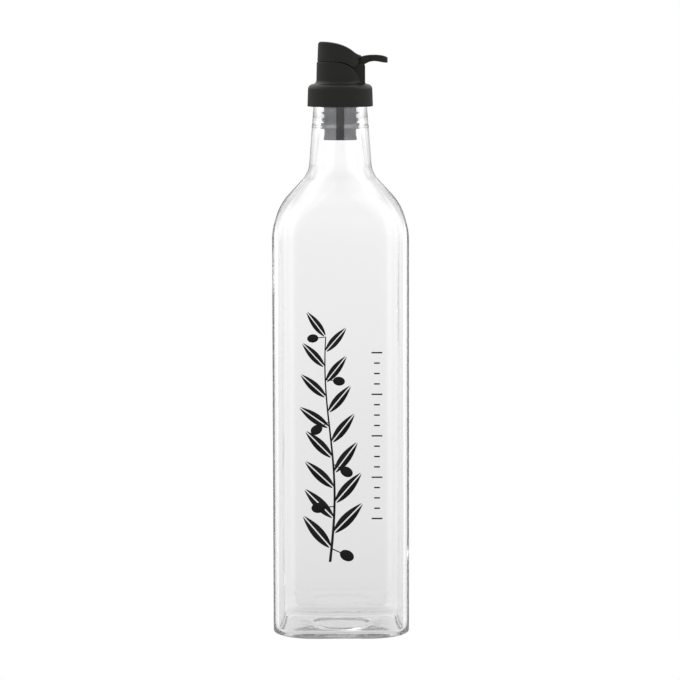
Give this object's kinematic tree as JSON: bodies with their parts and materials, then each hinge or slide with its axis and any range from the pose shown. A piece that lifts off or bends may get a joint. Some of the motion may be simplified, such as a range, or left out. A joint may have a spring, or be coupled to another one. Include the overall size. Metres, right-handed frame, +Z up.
{
  "type": "oil cruet",
  "caption": "Square clear glass oil bottle with rounded shoulders and a round neck, closed by a black pourer whose flip lid opens by a thumb lever.",
  "frame": {"origin": "centre of the bottle's base, on the surface it stands on", "axes": "+Z up along the neck, +X towards the thumb lever, -Y out of the printed front face"},
  "size_m": [0.076, 0.076, 0.3322],
  "materials": {
    "clear_glass": "clear, polished",
    "grey_plastic": "translucent grey",
    "dark_tube": "matte",
    "black_plastic": "satin",
    "print": "black printing enamel"
  },
  "bodies": {
    "cruet": {"bottle": "clear_glass", "stopper": "grey_plastic", "pour_tube": "dark_tube", "pourer": "black_plastic"},
    "lid": {"lid": "black_plastic"}
  },
  "joints": [
    {"name": "lid_hinge", "type": "hinge", "parent": "cruet", "child": "lid", "pos_m": [0.0098, 0, 0.318], "axis": [0, 1, 0], "range_deg": [0, 60]}
  ]
}
